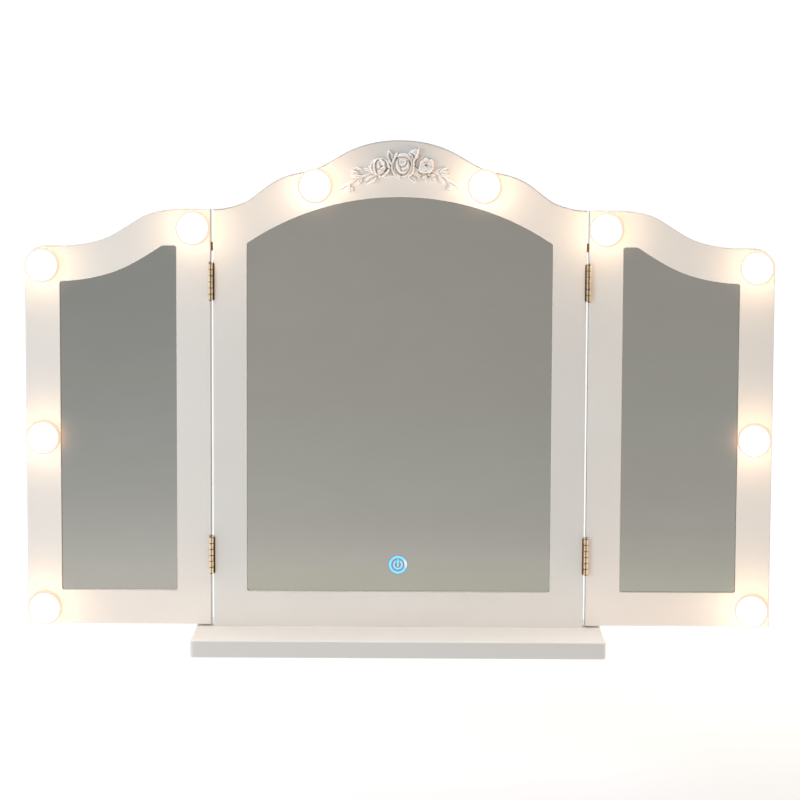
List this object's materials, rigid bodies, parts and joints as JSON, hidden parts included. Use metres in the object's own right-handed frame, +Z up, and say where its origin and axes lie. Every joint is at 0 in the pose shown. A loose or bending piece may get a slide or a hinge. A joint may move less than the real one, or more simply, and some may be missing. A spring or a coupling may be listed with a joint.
{
  "type": "trifold vanity mirror",
  "caption": "Free-standing three-panel dressing-table mirror with an arched crest, round globe lights, hinged side panels, a touch switch and a flat base board.",
  "frame": {"origin": "centre of the base's footprint, on the surface that it stands on", "axes": "+Z up, +X towards the viewer's right, the mirrors face -Y"},
  "size_m": [0.7792, 0.13, 0.5288],
  "materials": {
    "painted_wood": "satin warm-white paint on fibreboard",
    "bare_wood": "beech",
    "hardboard": "white-faced hardboard",
    "mirror_glass": "silvered float glass",
    "cast_resin": "painted cast resin",
    "antique_brass": "antique brass",
    "frosted_globe": "frosted, lit warm white",
    "touch_glow": "lit clear window in the silvering",
    "clear_plastic": "clear acrylic",
    "white_plastic": "moulded",
    "black_plastic": "moulded",
    "led_board": "white solder mask",
    "circuit_board": "solder mask",
    "lead_brown": "brown insulation",
    "pad_foam": "closed-cell foam",
    "zinc_steel": "zinc plated"
  },
  "bodies": {
    "centre": {"base_board": "painted_wood", "base_pads": "pad_foam", "base_screws": "zinc_steel", "base_dowels": "bare_wood", "centre_frame": "painted_wood", "centre_glass": "mirror_glass", "centre_foam": "pad_foam", "centre_back_cover": "hardboard", "centre_back_screws": "zinc_steel", "rose_garland": "cast_resin", "touch_icon": "touch_glow", "touch_diffuser": "clear_plastic", "touch_board": "circuit_board", "control_board": "circuit_board", "dc_jack": "black_plastic", "centre_bulb_collars": "white_plastic", "centre_bulb_nuts": "white_plastic", "centre_led_boards": "led_board", "centre_bulb_globes": "frosted_globe", "centre_wiring": "lead_brown", "left_link_lead": "lead_brown", "right_link_lead": "lead_brown", "left_hinge_frame_leaves": "antique_brass", "right_hinge_frame_leaves": "antique_brass", "left_hinge_pins": "antique_brass", "right_hinge_pins": "antique_brass", "left_hinge_frame_screws": "antique_brass", "right_hinge_frame_screws": "antique_brass"},
    "left_wing": {"left_wing_frame": "painted_wood", "left_wing_glass": "mirror_glass", "left_wing_foam": "pad_foam", "left_wing_back_cover": "hardboard", "left_wing_back_screws": "zinc_steel", "left_wing_bulb_collars": "white_plastic", "left_wing_bulb_nuts": "white_plastic", "left_wing_led_boards": "led_board", "left_wing_bulb_globes": "frosted_globe", "left_wing_wiring": "lead_brown", "left_wing_hinge_leaves": "antique_brass", "left_wing_hinge_screws": "antique_brass"},
    "right_wing": {"right_wing_frame": "painted_wood", "right_wing_glass": "mirror_glass", "right_wing_foam": "pad_foam", "right_wing_back_cover": "hardboard", "right_wing_back_screws": "zinc_steel", "right_wing_bulb_collars": "white_plastic", "right_wing_bulb_nuts": "white_plastic", "right_wing_led_boards": "led_board", "right_wing_bulb_globes": "frosted_globe", "right_wing_wiring": "lead_brown", "right_wing_hinge_leaves": "antique_brass", "right_wing_hinge_screws": "antique_brass"}
  },
  "joints": [
    {"name": "left_wing_hinge", "type": "hinge", "parent": "centre", "child": "left_wing", "pos_m": [-0.1964, 0.01195, 0.2383], "axis": [0, 0, 1], "range_deg": [0, 130]},
    {"name": "right_wing_hinge", "type": "hinge", "parent": "centre", "child": "right_wing", "pos_m": [0.1964, 0.01195, 0.2383], "axis": [0, 0, -1], "range_deg": [0, 130]}
  ]
}
